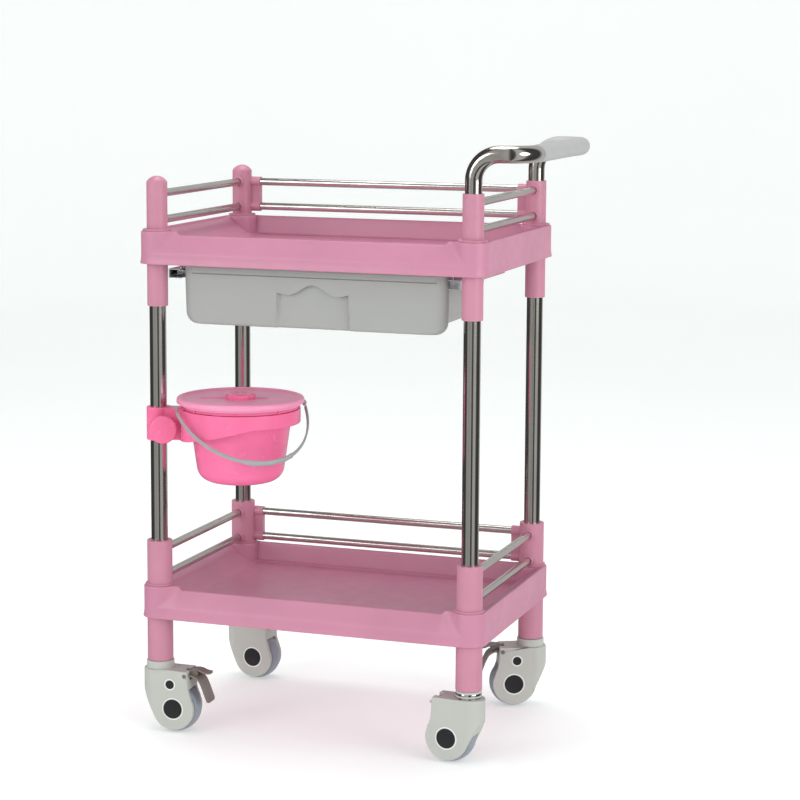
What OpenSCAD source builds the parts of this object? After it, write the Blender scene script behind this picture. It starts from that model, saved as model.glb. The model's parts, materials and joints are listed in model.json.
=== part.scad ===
// Two-tier treatment trolley: plastic trays on four steel posts, guard rails on
// three sides, a drawer under the top tray, a push handle, four swivel casters
// and a lidded pail in a holder that is clamped to the front left post.
// The front faces -Y, the push handle is at +X and the floor is Z = 0.

/* [Frame] */
// Distance between the left and right post axes
post_span_x = 492; // [480:1:505]
// Distance between the front and rear post axes
post_span_y = 322; // [316:1:330]
// Outer diameter of the steel posts and of the handle tube
tube_d = 25; // [24.4:0.1:25.4]
// Wall of the steel posts and of the handle tube
tube_wall = 1.2; // [1:0.1:1.5]
// Lower end of the posts above the floor
post_foot_z = 112; // [112:0.5:113]

/* [Trays] */
// Radius of the tray corners, which is also the radius of the post bosses
boss_r = 24; // [23.5:0.1:25]
// Underside of the bottom tray's skirt
low_tray_z = 177; // [174:1:178]
// Underside of the top tray's skirt
top_tray_z = 713.5; // [712:0.5:715]
// Height of the tray's ends and post bosses above the skirt's underside
tray_h = 48.5; // [47:0.5:50]
// Height of the front and rear rims above the skirt's underside
rim_h = 43; // [40:0.5:44]
// Height of the upright band below the front and rear slopes
band_h = 17; // [15:0.5:18]
// How far the front and rear rims stand back from the band
rim_setback = 15; // [12:0.5:16]
// Thickness of the moulded walls
wall = 3; // [2.5:0.1:3.2]
// Length of the flat tray floor
floor_x = 440; // [430:1:441]
// Width of the flat tray floor
floor_y = 320; // [312:1:320]
// Height of the tray floor above the skirt's underside
floor_h = 16.5; // [16:0.5:18]

/* [Guard rails] */
// Diameter of the rail rods
rod_d = 12; // [11:0.5:12.5]
// Height of the top tray's lower rods above its bosses
top_rod_low = 15; // [13.5:0.5:16]
// Height of the top tray's upper rods above its bosses
top_rod_high = 54.5; // [52:0.5:56]
// Height of the bottom tray's lower rods above its bosses
low_rod_low = 10.5; // [9.5:0.5:10.5]
// Height of the bottom tray's upper rods above its bosses
low_rod_high = 51.5; // [50:0.5:54]
// Height of the guard sleeves above the tray's boss
sleeve_h = 68.5; // [67:0.5:70]
// Outer diameter of the top tray's sleeves
top_sleeve_d = 31; // [30:0.5:32]
// Outer diameter of the bottom tray's sleeves
low_sleeve_d = 38; // [37:0.5:38.5]
// How far the rear rods stand behind the rear post axes
rear_rod_y = 6; // [5:0.5:7]

/* [Handle] */
// Height of the push bar's axis
handle_z = 886.5; // [880:0.5:887]
// Distance from the right posts to the push bar's axis
handle_reach = 79; // [78:0.5:86]
// Radius of the bends of the handle tube
handle_bend_r = 38; // [36:0.5:38.5]
// Outer diameter of the grip
grip_d = 27; // [26.8:0.1:28]
// Length of the grip
grip_len = 240; // [200:1:244]

/* [Drawer] */
// Width of the drawer front
drawer_w = 414; // [406:1:416]
// Height of the drawer front
drawer_h = 87; // [80:1:92]
// Distance from the post axes' centre to the outside of the drawer front
drawer_front_y = 161; // [158:1:164]
// Depth of the drawer from the front to the back
drawer_depth = 240; // [200:1:245]
// Gap between the drawer and the tray skirt above it
drawer_gap = 2; // [2:0.5:4]

/* [Pail] */
// Distance from the front left post to the pail's axis
pail_reach = 124; // [122:1:128]
// Direction of the holder's arm, from +X towards +Y
arm_angle = 15; // [0:1:25]
// Underside of the clamp on the post
clamp_z = 448; // [440:1:460]
// Height of the clamp
clamp_h = 50; // [46:1:54]
// Largest radius of the pail's wall
pail_r = 78.5; // [74:0.5:79]
// Height of the pail below the holder's top edge
pail_h = 110.5; // [95:0.5:120]
// Radius of the lid
lid_r = 95.5; // [93:0.5:95.5]
// Half the width of the bail between its two eyes
bail_half_w = 100; // [99.5:0.5:102]
// Angle of the resting bail, measured from straight down
bail_tilt = 54; // [53:1:56]

/* [Casters] */
// Diameter of the caster wheels
wheel_d = 75; // [70:1:76]
// Distance from the swivel axis to the wheel's axle
trail = 27; // [24:0.5:30]
// Width of the caster housing
housing_w = 41; // [38:0.5:44]

/* [Hidden] */

$fn = 48;
eps = 0.02;             // how far cutting shapes run past the faces they cut
slip = 0.1;             // radial gap of a sleeve or a tray on its post
run_gap = 0.06;         // radial gap of a pin that turns in its bore
body_gap = 0.4;         // gap between faces of bodies that move past each other

trolley_pink = [0.87, 0.59, 0.70];
pail_pink = [0.92, 0.43, 0.63];
drawer_grey = [0.70, 0.70, 0.69];
grip_grey = [0.73, 0.75, 0.74];
housing_grey = [0.79, 0.80, 0.77];
tyre_grey = [0.52, 0.55, 0.59];
steel = [0.75, 0.75, 0.73];
dark = [0.14, 0.14, 0.15];

post_x = post_span_x / 2;
post_y = post_span_y / 2;
tube_r = tube_d / 2;
fit_r = tube_r + slip;
tray_x = post_x + boss_r;
tray_y = post_y + boss_r;
skirt_flare = 1.5;
skirt_lip_h = 4;
low_boss_z = low_tray_z + tray_h;
top_boss_z = top_tray_z + tray_h;
top_seats = [top_rod_low, top_rod_high];
low_seats = [low_rod_low, low_rod_high];
under_sleeve_h = 63.5;
under_sleeve_d = 31;
leg_sleeve_d = 39;

// The holder's arm, the pail and the bail
arm_dir = [cos(arm_angle), sin(arm_angle)];
pail_x = -post_x + pail_reach * arm_dir[0];
pail_y = -post_y + pail_reach * arm_dir[1];
clamp_r = 18;
holder_r = 90;
holder_top_z = clamp_z + clamp_h;
bail_axis_angle = 40;
bail_z = holder_top_z + 2.5;
bail_len = 121;
bail_lean = 8;
bail_half_t = 1.6;          // half the bail's thickness
bail_half_s = 3.05;         // half its width
eye_r = 5;
eye_w = 3;
lug_r = 2;
knob_angle = -55;
knob_r = 21;
knob_far = 40;
knob_z = clamp_z + 20;

// The origin is below the middle of the whole trolley's outline
// A point on the bail: t runs from 0 degrees at one eye to 180 at the other
function bail_point(t) =
    let (along = bail_half_w * cos(t) + bail_lean * sin(t) * sin(t),
         out = bail_len * sin(t) * sin(bail_tilt),
         down = bail_len * sin(t) * cos(bail_tilt))
    [along, -out, -down];

function unit(v) = v / norm(v);

// Rings of points around a stretch of the bail, half_t thick in its plane and half_s across it
function bail_rings(turns, half_t, half_s, sides = 10) =
    let (path = [for (t = turns) bail_point(t)], n = len(path))
    [for (i = [0 : n - 1])
        let (d = unit(path[min(i + 1, n - 1)] - path[max(i - 1, 0)]),
             u = unit(cross(d, [0, -cos(bail_tilt), sin(bail_tilt)])),
             v = cross(d, u))
        for (k = [0 : sides - 1])
            path[i] + half_t * cos(360 * k / sides) * u + half_s * sin(360 * k / sides) * v];

bail_turns = concat(1.7, [for (t = [6 : 4 : 174]) t], 178.3);
bail_front = min([for (p = bail_rings(bail_turns, bail_half_t, bail_half_s))
    p[0] * sin(bail_axis_angle) + p[1] * cos(bail_axis_angle)]);

cart_x = -((post_x + handle_reach + grip_d / 2) - (tray_x + skirt_flare)) / 2;
cart_y = -((tray_y + skirt_flare) + (pail_y + min(bail_front, -lid_r))) / 2;

// The casters: the direction in which each wheel trails, from +X towards +Y
trail_front_left = 3;
trail_front_right = 175;
trail_rear_left = -5;
trail_rear_right = 202;
wheel_r = wheel_d / 2;
tyre_w = 26;
hub_r = 26;
axle_r = 4;
stem_r = 5.5;
housing_r = 33;
housing_top = 97;
housing_back = -25;
leg_bottom_z = 109.5;
plug_r = 14;
pedal_pivot = [45.5, 89];
pedal_pin_r = 3;

module cart() translate([cart_x, cart_y, 0]) children();

module at_post(side, depth) translate([side * post_x, depth * post_y, 0]) children();

module at_all_posts()
    for (side = [-1, 1])
        for (depth = [-1, 1])
            at_post(side, depth) children();

module rounded_plate(half_x, half_y, r, h)
    linear_extrude(h)
        union() {
            square([2 * (half_x - r), 2 * half_y], center = true);
            square([2 * half_x, 2 * (half_y - r)], center = true);
            for (x = [-1, 1])
                for (y = [-1, 1])
                    translate([x * (half_x - r), y * (half_y - r)]) circle(r);
        }

module ring(r_out, r_in, h)
    difference() {
        cylinder(h = h, r = r_out);
        translate([0, 0, -1]) cylinder(h = h + 2, r = r_in);
    }

// A bar along X whose section is a polygon of [y, z] points
module bar_along_x(length, points)
    translate([-length / 2, 0, 0])
        rotate([90, 0, 90])
            linear_extrude(length) polygon(points);

// A bar along Y whose section is a polygon of [x, z] points
module bar_along_y(length, points)
    translate([0, length / 2, 0])
        rotate([90, 0, 0])
            linear_extrude(length) polygon(points);

// ---- Trays ----

end_slope_x = 262 - 220;     // run of the sloping end walls
side_slope_y = 6;            // run of the front and rear walls

module basin() {
    fx = floor_x / 2;
    fy = floor_y / 2;
    top = tray_h + 1;
    rise = tray_h - floor_h;
    ex = fx + end_slope_x * (top - floor_h) / rise;
    ey = fy + side_slope_y * (top - floor_h) / rise;
    intersection() {
        bar_along_y(2 * tray_y, [[-fx, floor_h], [fx, floor_h], [ex, top], [-ex, top]]);
        bar_along_x(2 * tray_x, [[-fy, floor_h], [fy, floor_h], [ey, top], [-ey, top]]);
    }
}

// The slope outside the front and rear rims, and the step down to those rims
module side_cuts() {
    rim_y = tray_y - rim_setback;
    for (flip = [0, 1])
        mirror([0, flip, 0]) {
            bar_along_x(2 * post_x, [[-tray_y - 3, band_h], [-tray_y, band_h],
                                     [-rim_y, rim_h], [-rim_y, tray_h + 1], [-tray_y - 3, tray_h + 1]]);
            bar_along_x(2 * post_x, [[-rim_y - 1, rim_h], [-floor_y / 2 + 2, rim_h],
                                     [-floor_y / 2 + 2, tray_h + 1], [-rim_y - 1, tray_h + 1]]);
        }
}

// The open space inside the skirt and inside the thick end walls
module underside() {
    roof = floor_h - wall;
    inner_x = tray_x - wall;
    inner_y = tray_y - wall;
    translate([0, 0, -1]) rounded_plate(inner_x, inner_y, boss_r - wall, roof + 1);
    for (flip = [0, 1])
        mirror([flip, 0, 0])
            bar_along_y(2 * (post_y - boss_r), [[floor_x / 2 + 6, roof - 1], [inner_x, roof - 1],
                                                [inner_x, tray_h - 2 * wall]]);
}

module tray(z) {
    translate([0, 0, z])
        difference() {
            union() {
                rounded_plate(tray_x, tray_y, boss_r, tray_h);
                rounded_plate(tray_x + skirt_flare, tray_y + skirt_flare, boss_r + skirt_flare, skirt_lip_h);
            }
            difference() {
                union() {
                    basin();
                    side_cuts();
                }
                at_all_posts() cylinder(h = tray_h + 2, r = boss_r);
            }
            difference() {
                underside();
                at_all_posts() cylinder(h = tray_h, r = fit_r + wall);
            }
            at_all_posts() translate([0, 0, -1]) cylinder(h = tray_h + 2, r = fit_r);
        }
}

// The top tray also has the hollow studs that the drawer's channels hang from
module top_tray()
    color(trolley_pink) cart() {
        tray(top_tray_z);
        at_channel_screws()
            translate([0, 0, channel_z + channel_h])
                ring(stud_r, screw_shank_r + eps, top_tray_z + floor_h - wall + eps - channel_z - channel_h);
    }

module bottom_tray() color(trolley_pink) cart() tray(low_tray_z);

// ---- Posts and sleeves ----

joint_z = top_boss_z + 40;   // where the right posts end and the handle tube begins

module post(side, depth, top_z)
    color(steel) cart()
        at_post(side, depth)
            translate([0, 0, post_foot_z]) ring(tube_r, tube_r - tube_wall, top_z - post_foot_z);

left_post_top = top_boss_z + sleeve_h;

module post_front_left() post(-1, -1, left_post_top);
module post_front_right() post(1, -1, joint_z);
module post_rear_left() post(-1, 1, left_post_top);
module post_rear_right() post(1, 1, joint_z);

rod_r = rod_d / 2;
rod_inset = 13.2;            // from a post's axis to the end of a rod
block_len = 15;              // how far a rear rod's block stands out of its sleeve

// A sleeve round a post with seats for the rods. The rods of the trolley's end run
// to the other post of that end, and a rear sleeve also holds the rear rods.
module guard_sleeve(side, depth, boss_z, outer_r, seats) {
    foot_r = outer_r + (boss_r - 2 - outer_r) * 0.9;
    rear_x = -side * (outer_r + block_len);
    color(trolley_pink) cart()
        at_post(side, depth)
            translate([0, 0, boss_z])
                difference() {
                    union() {
                        cylinder(h = sleeve_h, r = outer_r);
                        cylinder(h = 3, r = foot_r);
                        for (h = seats)
                            translate([0, 0, h]) rotate([depth * 90, 0, 0]) cylinder(h = outer_r + 5, r = 8);
                        if (depth > 0) rear_block(rear_x, seats);
                    }
                    translate([0, 0, -1]) cylinder(h = sleeve_h + 2, r = fit_r);
                    for (h = seats)
                        translate([0, 0, h]) rotate([depth * 90, 0, 0]) cylinder(h = outer_r + 6, r = rod_r + slip);
                    if (depth > 0)
                        for (h = seats)
                            translate([rear_x / 2 * 1.4, rear_rod_y, h])
                                rotate([0, side * -90, 0])
                                    cylinder(h = outer_r + block_len, r = rod_r + slip);
                }
}

module rear_block(end_x, seats) {
    for (h = seats)
        translate([0, rear_rod_y, h])
            rotate([0, sign(end_x) * 90, 0]) cylinder(h = abs(end_x), r = 8);
    translate([min(0, end_x), rear_rod_y - 5, seats[0]])
        cube([abs(end_x), 10, seats[1] - seats[0]]);
}

module top_sleeve_front_left() guard_sleeve(-1, -1, top_boss_z, top_sleeve_d / 2, top_seats);
module top_sleeve_front_right() guard_sleeve(1, -1, top_boss_z, top_sleeve_d / 2, top_seats);
module top_sleeve_rear_left() guard_sleeve(-1, 1, top_boss_z, top_sleeve_d / 2, top_seats);
module top_sleeve_rear_right() guard_sleeve(1, 1, top_boss_z, top_sleeve_d / 2, top_seats);
module low_sleeve_front_left() guard_sleeve(-1, -1, low_boss_z, low_sleeve_d / 2, low_seats);
module low_sleeve_front_right() guard_sleeve(1, -1, low_boss_z, low_sleeve_d / 2, low_seats);
module low_sleeve_rear_left() guard_sleeve(-1, 1, low_boss_z, low_sleeve_d / 2, low_seats);
module low_sleeve_rear_right() guard_sleeve(1, 1, low_boss_z, low_sleeve_d / 2, low_seats);

module under_tray_sleeves()
    color(trolley_pink) cart()
        at_all_posts()
            translate([0, 0, top_tray_z - under_sleeve_h]) ring(under_sleeve_d / 2, fit_r, under_sleeve_h);

module leg_sleeves()
    color(trolley_pink) cart()
        at_all_posts()
            translate([0, 0, leg_bottom_z]) ring(leg_sleeve_d / 2, fit_r, low_tray_z - leg_bottom_z);

cap_band = 4;
cap_rise = 9;

module dome_caps() {
    cap_r = top_sleeve_d / 2;
    ball_r = (cap_r * cap_r + cap_rise * cap_rise) / (2 * cap_rise);
    color(trolley_pink) cart()
        for (depth = [-1, 1])
            at_post(-1, depth)
                translate([0, 0, left_post_top]) {
                    cylinder(h = cap_band, r = cap_r);
                    translate([0, 0, -16]) cylinder(h = 16 + eps, r = tube_r - tube_wall - slip);
                    intersection() {
                        translate([0, 0, cap_band + cap_rise - ball_r]) sphere(ball_r);
                        translate([0, 0, cap_band - eps]) cylinder(h = cap_rise + 1, r = cap_r);
                    }
                }
}

// ---- Guard rails ----

module end_rods(side, boss_z, seats)
    color(steel) cart()
        for (h = seats)
            translate([side * post_x, post_y - rod_inset, boss_z + h])
                rotate([90, 0, 0]) cylinder(h = post_span_y - 2 * rod_inset, r = rod_r);

module rear_rods(boss_z, outer_r, seats) {
    half = post_x - (outer_r + block_len) * 0.72;
    color(steel) cart()
        for (h = seats)
            translate([-half, post_y + rear_rod_y, boss_z + h])
                rotate([0, 90, 0]) cylinder(h = 2 * half, r = rod_r);
}

module top_rails_left() end_rods(-1, top_boss_z, top_seats);
module top_rails_right() end_rods(1, top_boss_z, top_seats);
module top_rails_rear() rear_rods(top_boss_z, top_sleeve_d / 2, top_seats);
module low_rails_left() end_rods(-1, low_boss_z, low_seats);
module low_rails_right() end_rods(1, low_boss_z, low_seats);
module low_rails_rear() rear_rods(low_boss_z, low_sleeve_d / 2, low_seats);

// ---- Handle ----

module tube_profile() {
    difference() {
        circle(tube_r);
        circle(tube_r - tube_wall);
    }
}

module bend() rotate_extrude(angle = 90) translate([handle_bend_r, 0]) tube_profile();

module handle_tube() {
    rise = handle_z - handle_bend_r - joint_z;
    run = handle_reach - 2 * handle_bend_r;
    bar_half = post_y - handle_bend_r;
    color(steel) cart()
        union() {
            for (flip = [0, 1])
                mirror([0, flip, 0])
                    translate([post_x, post_y, 0]) {
                        translate([0, 0, joint_z + slip]) linear_extrude(rise - slip + eps) tube_profile();
                        translate([handle_bend_r, 0, handle_z - handle_bend_r])
                            rotate([90, 0, 180]) bend();
                        translate([handle_bend_r - eps, 0, handle_z])
                            rotate([90, 0, 90]) linear_extrude(run + 2 * eps) tube_profile();
                        translate([handle_reach - handle_bend_r, -handle_bend_r, handle_z]) bend();
                    }
            translate([post_x + handle_reach, bar_half + eps, handle_z])
                rotate([90, 0, 0]) linear_extrude(2 * (bar_half + eps)) tube_profile();
        }
}

module handle_grip()
    color(grip_grey) cart()
        translate([post_x + handle_reach, grip_len / 2, handle_z])
            rotate([90, 0, 0]) ring(grip_d / 2, fit_r, grip_len);

// ---- Drawer ----

drawer_top = top_tray_z - drawer_gap;
drawer_bottom = drawer_top - drawer_h;
front_thick = 16;
front_wall = 12;             // thickness of the front behind the finger recess
front_r = 15;                // rounding of the drawer front's upright edges
tub_half = 190;
tub_bottom = drawer_bottom + 11;
tub_top = drawer_top - 4;
tub_wall = 2.5;
channel_z = drawer_top - 19.5;
channel_h = 14;
channel_in = 199;            // inner and outer faces of the slide channels
channel_out = 228;
channel_wall = 1.5;
channel_len = 112;
runner_gap = 0.8;
stud_r = 5;
screw_shank_r = 1.8;
screw_head_r = 3.6;
screw_head_h = 1.2;

module drawer() {
    front = -drawer_front_y;
    back = front + drawer_depth;
    half = drawer_w / 2;
    color(drawer_grey) cart()
        difference() {
            union() {
                translate([0, front + front_thick, drawer_bottom])
                    linear_extrude(drawer_h)
                        difference() {
                            rounded_slab(half, front_thick, front_r);
                            translate([-half - 1, 0]) square([2 * half + 2, front_thick + 1]);
                        }
                translate([-tub_half, front + front_thick - eps, tub_bottom])
                    cube([2 * tub_half, drawer_depth - front_thick + eps, tub_top - tub_bottom]);
            }
            translate([-tub_half + tub_wall, front + front_wall, tub_bottom + tub_wall])
                cube([2 * (tub_half - tub_wall), drawer_depth - front_wall - tub_wall, drawer_h]);
            finger_recess(front);
            for (side = [-1, 1])
                translate([side * (channel_in + 29), front + front_thick / 2, channel_z + channel_h])
                    cube([60, front_thick + 2, 2 * channel_h + 2], center = true);
        }
}

// A slab from the front face back to Y = 0 with rounded front corners
module rounded_slab(half, depth, r) {
    translate([-half, -depth + r]) square([2 * half, depth - r]);
    translate([-half + r, -depth]) square([2 * (half - r), r + eps]);
    for (x = [-1, 1])
        translate([x * (half - r), -depth + r]) circle(r);
}

// The pull in the middle of the drawer front: a hollow that is deepest at its top
module finger_recess(front)
    translate([0, 0, drawer_top - 22])
        bar_along_x(100, [[front - 1, -30], [front - 1, 0], [front + 9, 0], [front + 9, -4], [front, -30]]);

module drawer_channel(side)
    color(steel) cart()
        mirror([side < 0 ? 1 : 0, 0, 0])
            difference() {
                translate([0, -drawer_front_y + channel_len / 2, channel_z])
                    bar_along_y(channel_len, [
                        [channel_in, 0], [channel_out, 0], [channel_out, channel_h], [channel_in, channel_h],
                        [channel_in, channel_h - channel_wall],
                        [channel_out - channel_wall, channel_h - channel_wall],
                        [channel_out - channel_wall, channel_wall], [channel_in, channel_wall]]);
                at_channel_screws() translate([0, 0, channel_z + 5]) cylinder(h = 20, r = screw_shank_r + eps);
            }

module drawer_channel_left() drawer_channel(-1);
module drawer_channel_right() drawer_channel(1);

// The runners on the drawer's two sides, folded strips that slide inside the channels
module drawer_runners() {
    low = channel_z + channel_wall + runner_gap;
    high = channel_z + channel_h - channel_wall - runner_gap - screw_head_h;
    outer = channel_out - channel_wall - 5;
    run = drawer_depth - front_thick;
    color(steel) cart()
        for (flip = [0, 1])
            mirror([flip, 0, 0])
                translate([0, -drawer_front_y + front_thick + run / 2, 0])
                    bar_along_y(run, [
                        [tub_half, high], [outer, high], [outer, low], [outer - channel_wall, low],
                        [outer - channel_wall, high - channel_wall], [tub_half + channel_wall, high - channel_wall],
                        [tub_half + channel_wall, low], [tub_half, low]]);
}

module at_channel_screws()
    for (side = [-1, 1])
        for (y = [14, channel_len - 14])
            translate([side * (channel_in + channel_out) / 2, y - drawer_front_y, 0]) children();

module channel_screws() {
    roof = channel_z + channel_h - channel_wall;
    color(steel) cart()
        at_channel_screws() {
            translate([0, 0, roof - screw_head_h]) cylinder(h = screw_head_h, r = screw_head_r);
            translate([0, 0, roof - eps]) cylinder(h = 12, r = screw_shank_r);
        }
}

// ---- Pail and its holder ----

module at_pail() translate([pail_x, pail_y, 0]) children();

// The holder's lower edge slopes up from the clamp to a narrow band
module pail_holder() {
    inner_r = pail_r + 1.5;
    band_low = holder_top_z - 21;
    slope_end = pail_reach + 30;
    slope = (band_low - clamp_z) / (slope_end - 32);
    color(pail_pink) cart()
        difference() {
            union() {
                at_post(-1, -1) translate([0, 0, clamp_z]) cylinder(h = clamp_h, r = clamp_r);
                at_pail() translate([0, 0, clamp_z]) cylinder(h = clamp_h, r = holder_r);
                at_post(-1, -1)
                    rotate([0, 0, arm_angle])
                        translate([0, -14, clamp_z + 1]) cube([pail_reach - holder_r + 5, 28, clamp_h - 2]);
                knob_boss();
            }
            at_pail() translate([0, 0, clamp_z - 1]) cylinder(h = clamp_h + 2, r = inner_r);
            at_post(-1, -1) translate([0, 0, clamp_z - 1]) cylinder(h = clamp_h + 2, r = tube_r + run_gap);
            at_post(-1, -1)
                rotate([0, 0, arm_angle])
                    bar_along_y(2 * holder_r + 6, [
                        [slope_end - (band_low - clamp_z + 5) / slope, clamp_z - 5], [slope_end, band_low],
                        [pail_reach + holder_r + 3, band_low], [pail_reach + holder_r + 3, clamp_z - 5]]);
            screw_hole();
        }
}

module at_knob()
    at_post(-1, -1)
        translate([0, 0, knob_z])
            rotate([0, 90, knob_angle]) children();

module knob_boss() at_knob() cylinder(h = 26, r = 10);

screw_r = 4;

module screw_hole() at_knob() translate([0, 0, 13.5]) cylinder(h = 30, r = screw_r + run_gap);

module clamp_screw()
    color(steel) cart() at_knob() translate([0, 0, 13.5]) cylinder(h = 21, r = screw_r);

module clamp_knob()
    color(pail_pink) cart()
        at_knob()
            difference() {
                translate([0, 0, 27]) cylinder(h = knob_far - 27, r = knob_r);
                translate([0, 0, 26]) cylinder(h = 8.5, r = screw_r + eps);
            }

function arc(cx, cy, r, from, to, steps = 8) =
    [for (i = [0 : steps]) let (a = from + (to - from) * i / steps) [cx + r * cos(a), cy + r * sin(a)]];

flange_r = 92;
flange_z = holder_top_z + body_gap;
flange_h = 4.2;
pail_bottom_z = holder_top_z - pail_h;
pail_foot_r = 66;
corner_r = 24;
pail_wall = 2.2;

// The wall's outline from the axis at the bottom to the flange, moved inwards by t
function pail_wall_line(t) = concat(
    [[0, pail_bottom_z + t]],
    arc(pail_foot_r - corner_r, pail_bottom_z + corner_r, corner_r - t, -90, -6),
    [[pail_r - t, flange_z + flange_h]]);

module pail()
    color(pail_pink) cart()
        at_pail()
            union() {
                rotate_extrude()
                    difference() {
                        union() {
                            polygon(concat(pail_wall_line(0), [[0, flange_z + flange_h]]));
                            translate([0, flange_z]) square([flange_r, flange_h]);
                        }
                        polygon(concat(pail_wall_line(pail_wall),
                                       [[pail_r - pail_wall, flange_z + 20], [0, flange_z + 20]]));
                    }
                for (end = [0, 180])
                    translate([0, 0, bail_z])
                        rotate([0, 90, bail_axis_angle + end])
                            translate([0, 0, flange_r - 4])
                                cylinder(h = bail_half_w + eye_w - flange_r + 4, r = lug_r);
            }

lid_z = flange_z + flange_h + body_gap;
lid_h = 12;

module pail_lid()
    color(pail_pink) cart()
        at_pail()
            translate([0, 0, lid_z])
                difference() {
                    union() {
                        cylinder(h = lid_h, r = lid_r);
                        cylinder(h = lid_h + 4, r = 20);
                    }
                    difference() {
                        translate([0, 0, lid_h - 4]) cylinder(h = 10, r = lid_r - 7);
                        cylinder(h = lid_h + 4, r = 20);
                    }
                    translate([0, 0, -1]) cylinder(h = lid_h - 6, r = lid_r - 5);
                }

// A closed skin from the rings around a path
module sweep(rings, sides = 10) {
    n = len(rings) / sides;
    walls = [for (i = [0 : n - 2])
        for (k = [0 : sides - 1])
            let (a = i * sides + k, b = i * sides + (k + 1) % sides)
            [a, a + sides, b + sides, b]];
    polyhedron(rings, concat([[for (k = [0 : sides - 1]) k]], walls,
                             [[for (k = [sides - 1 : -1 : 0]) (n - 1) * sides + k]]));
}

module at_bail() at_pail() translate([0, 0, bail_z]) rotate([0, 0, bail_axis_angle]) children();

// The grip covers this stretch of the bail's steps
grip_from = 62;
grip_to = 110;

module bail()
    color(steel) cart()
        at_bail()
            difference() {
                union() {
                    sweep(bail_rings(bail_turns, bail_half_t, bail_half_s));
                    for (end = [-1, 1])
                        translate([end * bail_half_w - eye_w / 2, 0, 0])
                            rotate([0, 90, 0]) cylinder(h = eye_w, r = eye_r);
                }
                translate([-bail_half_w - 5, 0, 0])
                    rotate([0, 90, 0]) cylinder(h = 2 * bail_half_w + 10, r = lug_r + run_gap);
            }

module bail_grip()
    color(grip_grey) cart()
        at_bail()
            difference() {
                sweep(bail_rings([for (t = [grip_from : 4 : grip_to]) t], 4.6, 5));
                sweep(bail_rings([for (t = [grip_from - 4 : 4 : grip_to + 4]) t],
                                 bail_half_t + eps, bail_half_s + eps));
            }

// ---- Casters ----

module caster_stems()
    color(steel) cart()
        at_all_posts() {
            translate([0, 0, 86]) cylinder(h = 60, r = stem_r);
            translate([0, 0, leg_bottom_z]) cylinder(h = post_foot_z - leg_bottom_z, r = tube_r);
            translate([0, 0, post_foot_z - eps]) cylinder(h = 45, r = tube_r - tube_wall - slip);
        }

module at_caster(side, depth, angle) at_post(side, depth) rotate([0, 0, angle]) children();

// A plate in the wheel's plane, [distance along the trail, height], width w across
module wheel_plate(w)
    translate([0, w / 2, 0])
        rotate([90, 0, 0]) linear_extrude(w) children();

module housing_outline() {
    translate([trail, wheel_r]) circle(housing_r);
    polygon([[housing_back + 2, housing_top], [housing_back, housing_top - 2], [housing_back, 68],
             [-2, 22], [trail, 30],
             [trail + 30, 52], [52, 66], [50, housing_top]]);
}

// The housing from above: round at the swivel and square at the trailing end
module housing_plan() {
    round_x = housing_back + housing_w / 2;
    linear_extrude(leg_bottom_z)
        union() {
            translate([round_x, 0]) circle(housing_w / 2);
            translate([round_x, -housing_w / 2]) square([trail + housing_r + 10 - round_x, housing_w]);
        }
}

module housing(side, depth, angle, braked) {
    color(housing_grey) cart()
        at_caster(side, depth, angle)
            difference() {
                union() {
                    intersection() {
                        wheel_plate(housing_w) housing_outline();
                        housing_plan();
                    }
                    translate([0, 0, housing_top - eps])
                        cylinder(h = leg_bottom_z - housing_top - body_gap, r = braked ? 21 : 19);
                }
                wheel_plate(tyre_w + 2)
                    union() {
                        translate([trail, wheel_r]) circle(wheel_r + 1.5);
                        translate([trail - wheel_r - 1.5, -3]) square([2 * wheel_r + 3, wheel_r + 3]);
                    }
                translate([0, 0, 84]) cylinder(h = 40, r = stem_r + run_gap);
                wheel_plate(housing_w + 2) translate([trail, wheel_r]) circle(axle_r + slip);
                wheel_plate(16) translate([42, 82]) square([20, 22]);
                if (braked)
                    wheel_plate(housing_w + 2) translate(pedal_pivot) circle(pedal_pin_r + run_gap);
            }
}

module housing_front_left() housing(-1, -1, trail_front_left, true);
module housing_front_right() housing(1, -1, trail_front_right, false);
module housing_rear_left() housing(-1, 1, trail_rear_left, false);
module housing_rear_right() housing(1, 1, trail_rear_right, true);

// The tyre runs on the wheel's axis with rounded shoulders
module tyre(side, depth, angle) {
    shoulder = 4;
    color(tyre_grey) cart()
        at_caster(side, depth, angle)
            translate([trail, 0, wheel_r])
                rotate([90, 0, 0])
                    rotate_extrude()
                        union() {
                            translate([hub_r, -tyre_w / 2]) square([wheel_r - shoulder - hub_r, tyre_w]);
                            translate([hub_r, -tyre_w / 2 + shoulder])
                                square([wheel_r - hub_r, tyre_w - 2 * shoulder]);
                            for (y = [-1, 1])
                                translate([wheel_r - shoulder, y * (tyre_w / 2 - shoulder)])
                                    circle(shoulder);
                        }
}

module tyre_front_left() tyre(-1, -1, trail_front_left);
module tyre_front_right() tyre(1, -1, trail_front_right);
module tyre_rear_left() tyre(-1, 1, trail_rear_left);
module tyre_rear_right() tyre(1, 1, trail_rear_right);

module hub(side, depth, angle)
    color(housing_grey) cart()
        at_caster(side, depth, angle)
            wheel_plate(tyre_w - 2)
                translate([trail, wheel_r])
                    difference() {
                        circle(hub_r);
                        circle(axle_r + run_gap);
                    }

module hub_front_left() hub(-1, -1, trail_front_left);
module hub_front_right() hub(1, -1, trail_front_right);
module hub_rear_left() hub(-1, 1, trail_rear_left);
module hub_rear_right() hub(1, 1, trail_rear_right);

// The axle with the two round plugs that close its ends
module axle(side, depth, angle)
    color(dark) cart()
        at_caster(side, depth, angle) {
            wheel_plate(housing_w + 2) translate([trail, wheel_r]) circle(axle_r);
            for (flip = [0, 1])
                mirror([0, flip, 0])
                    translate([0, housing_w / 2 + 0.5 + slip, 0])
                        wheel_plate(1) translate([trail, wheel_r]) circle(plug_r);
        }

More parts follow.
